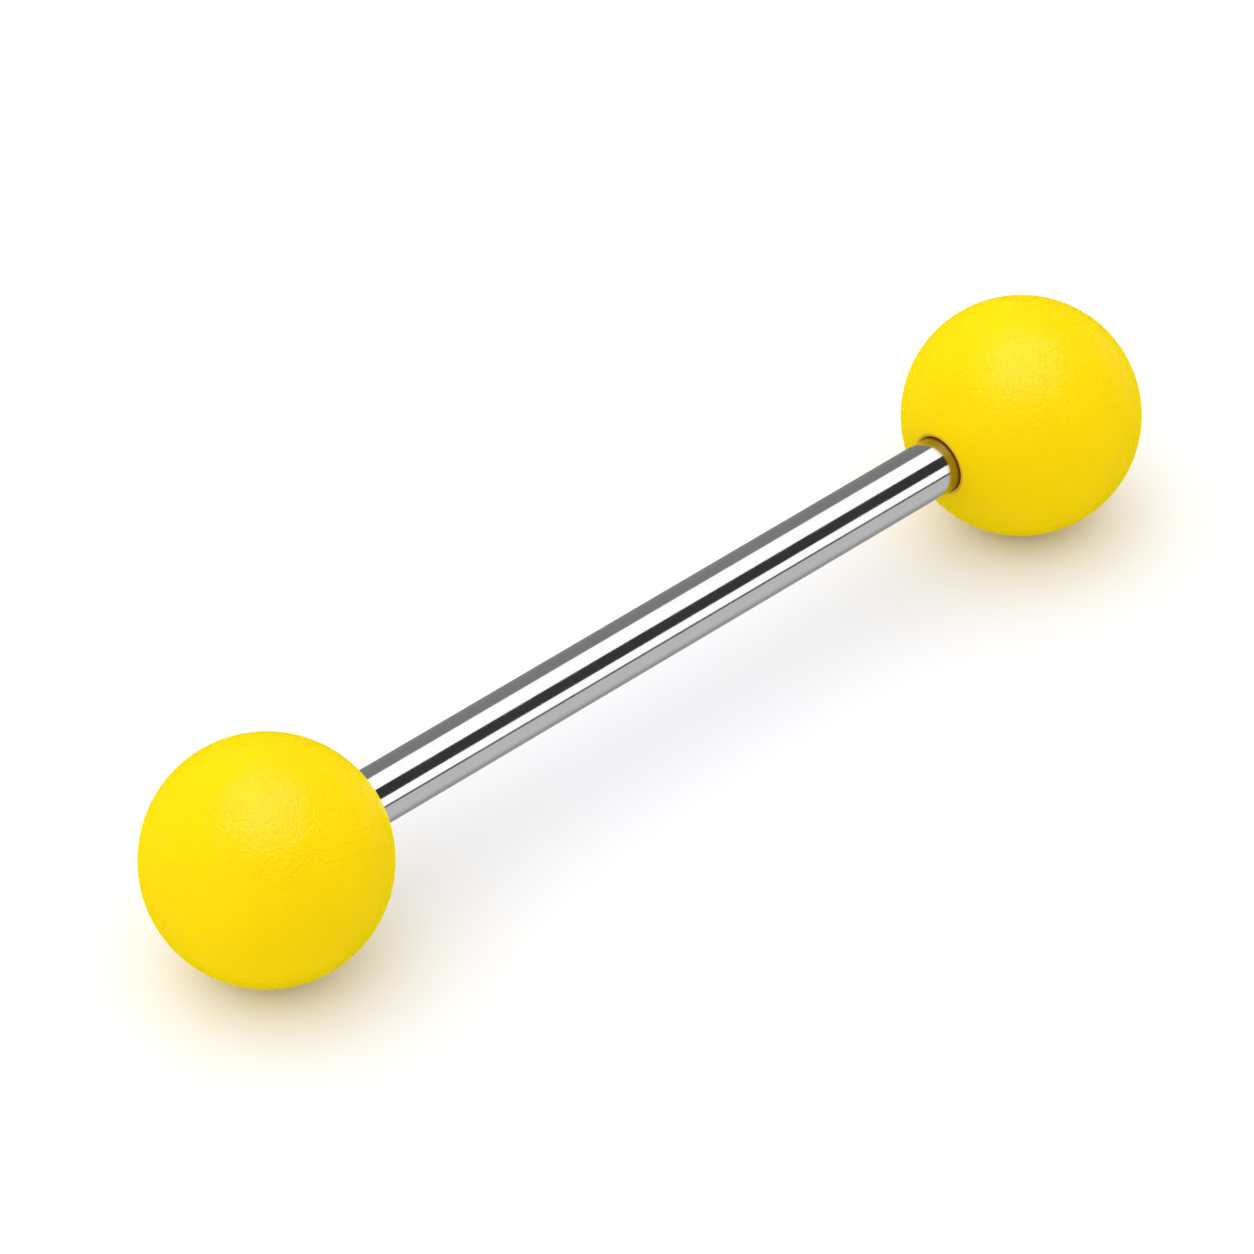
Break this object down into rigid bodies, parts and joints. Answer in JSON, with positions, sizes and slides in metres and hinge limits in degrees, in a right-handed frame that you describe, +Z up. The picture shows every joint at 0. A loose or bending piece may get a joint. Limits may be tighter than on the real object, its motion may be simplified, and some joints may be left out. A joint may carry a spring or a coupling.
{
  "type": "tongue barbell",
  "caption": "Straight body-jewellery barbell lying on its side: a slim polished round steel bar with a round screw-on ball of opaque yellow acrylic at each end.",
  "frame": {"origin": "on the surface that the two balls rest on, under the middle of the bar", "axes": "+X along the bar towards the right ball, +Y level across the bar, +Z up"},
  "size_m": [0.0258, 0.005, 0.005],
  "materials": {
    "polished_steel": "polished",
    "yellow_acrylic": "satin"
  },
  "bodies": {
    "bar": {"bar": "polished_steel"},
    "left_ball": {"left_ball": "yellow_acrylic"},
    "right_ball": {"right_ball": "yellow_acrylic"}
  },
  "joints": [
    {"name": "left_ball_unscrew", "type": "slide", "parent": "bar", "child": "left_ball", "axis": [-1, 0, 0], "range_m": [0, 0.0032]},
    {"name": "right_ball_unscrew", "type": "slide", "parent": "bar", "child": "right_ball", "axis": [1, 0, 0], "range_m": [0, 0.0032]}
  ]
}
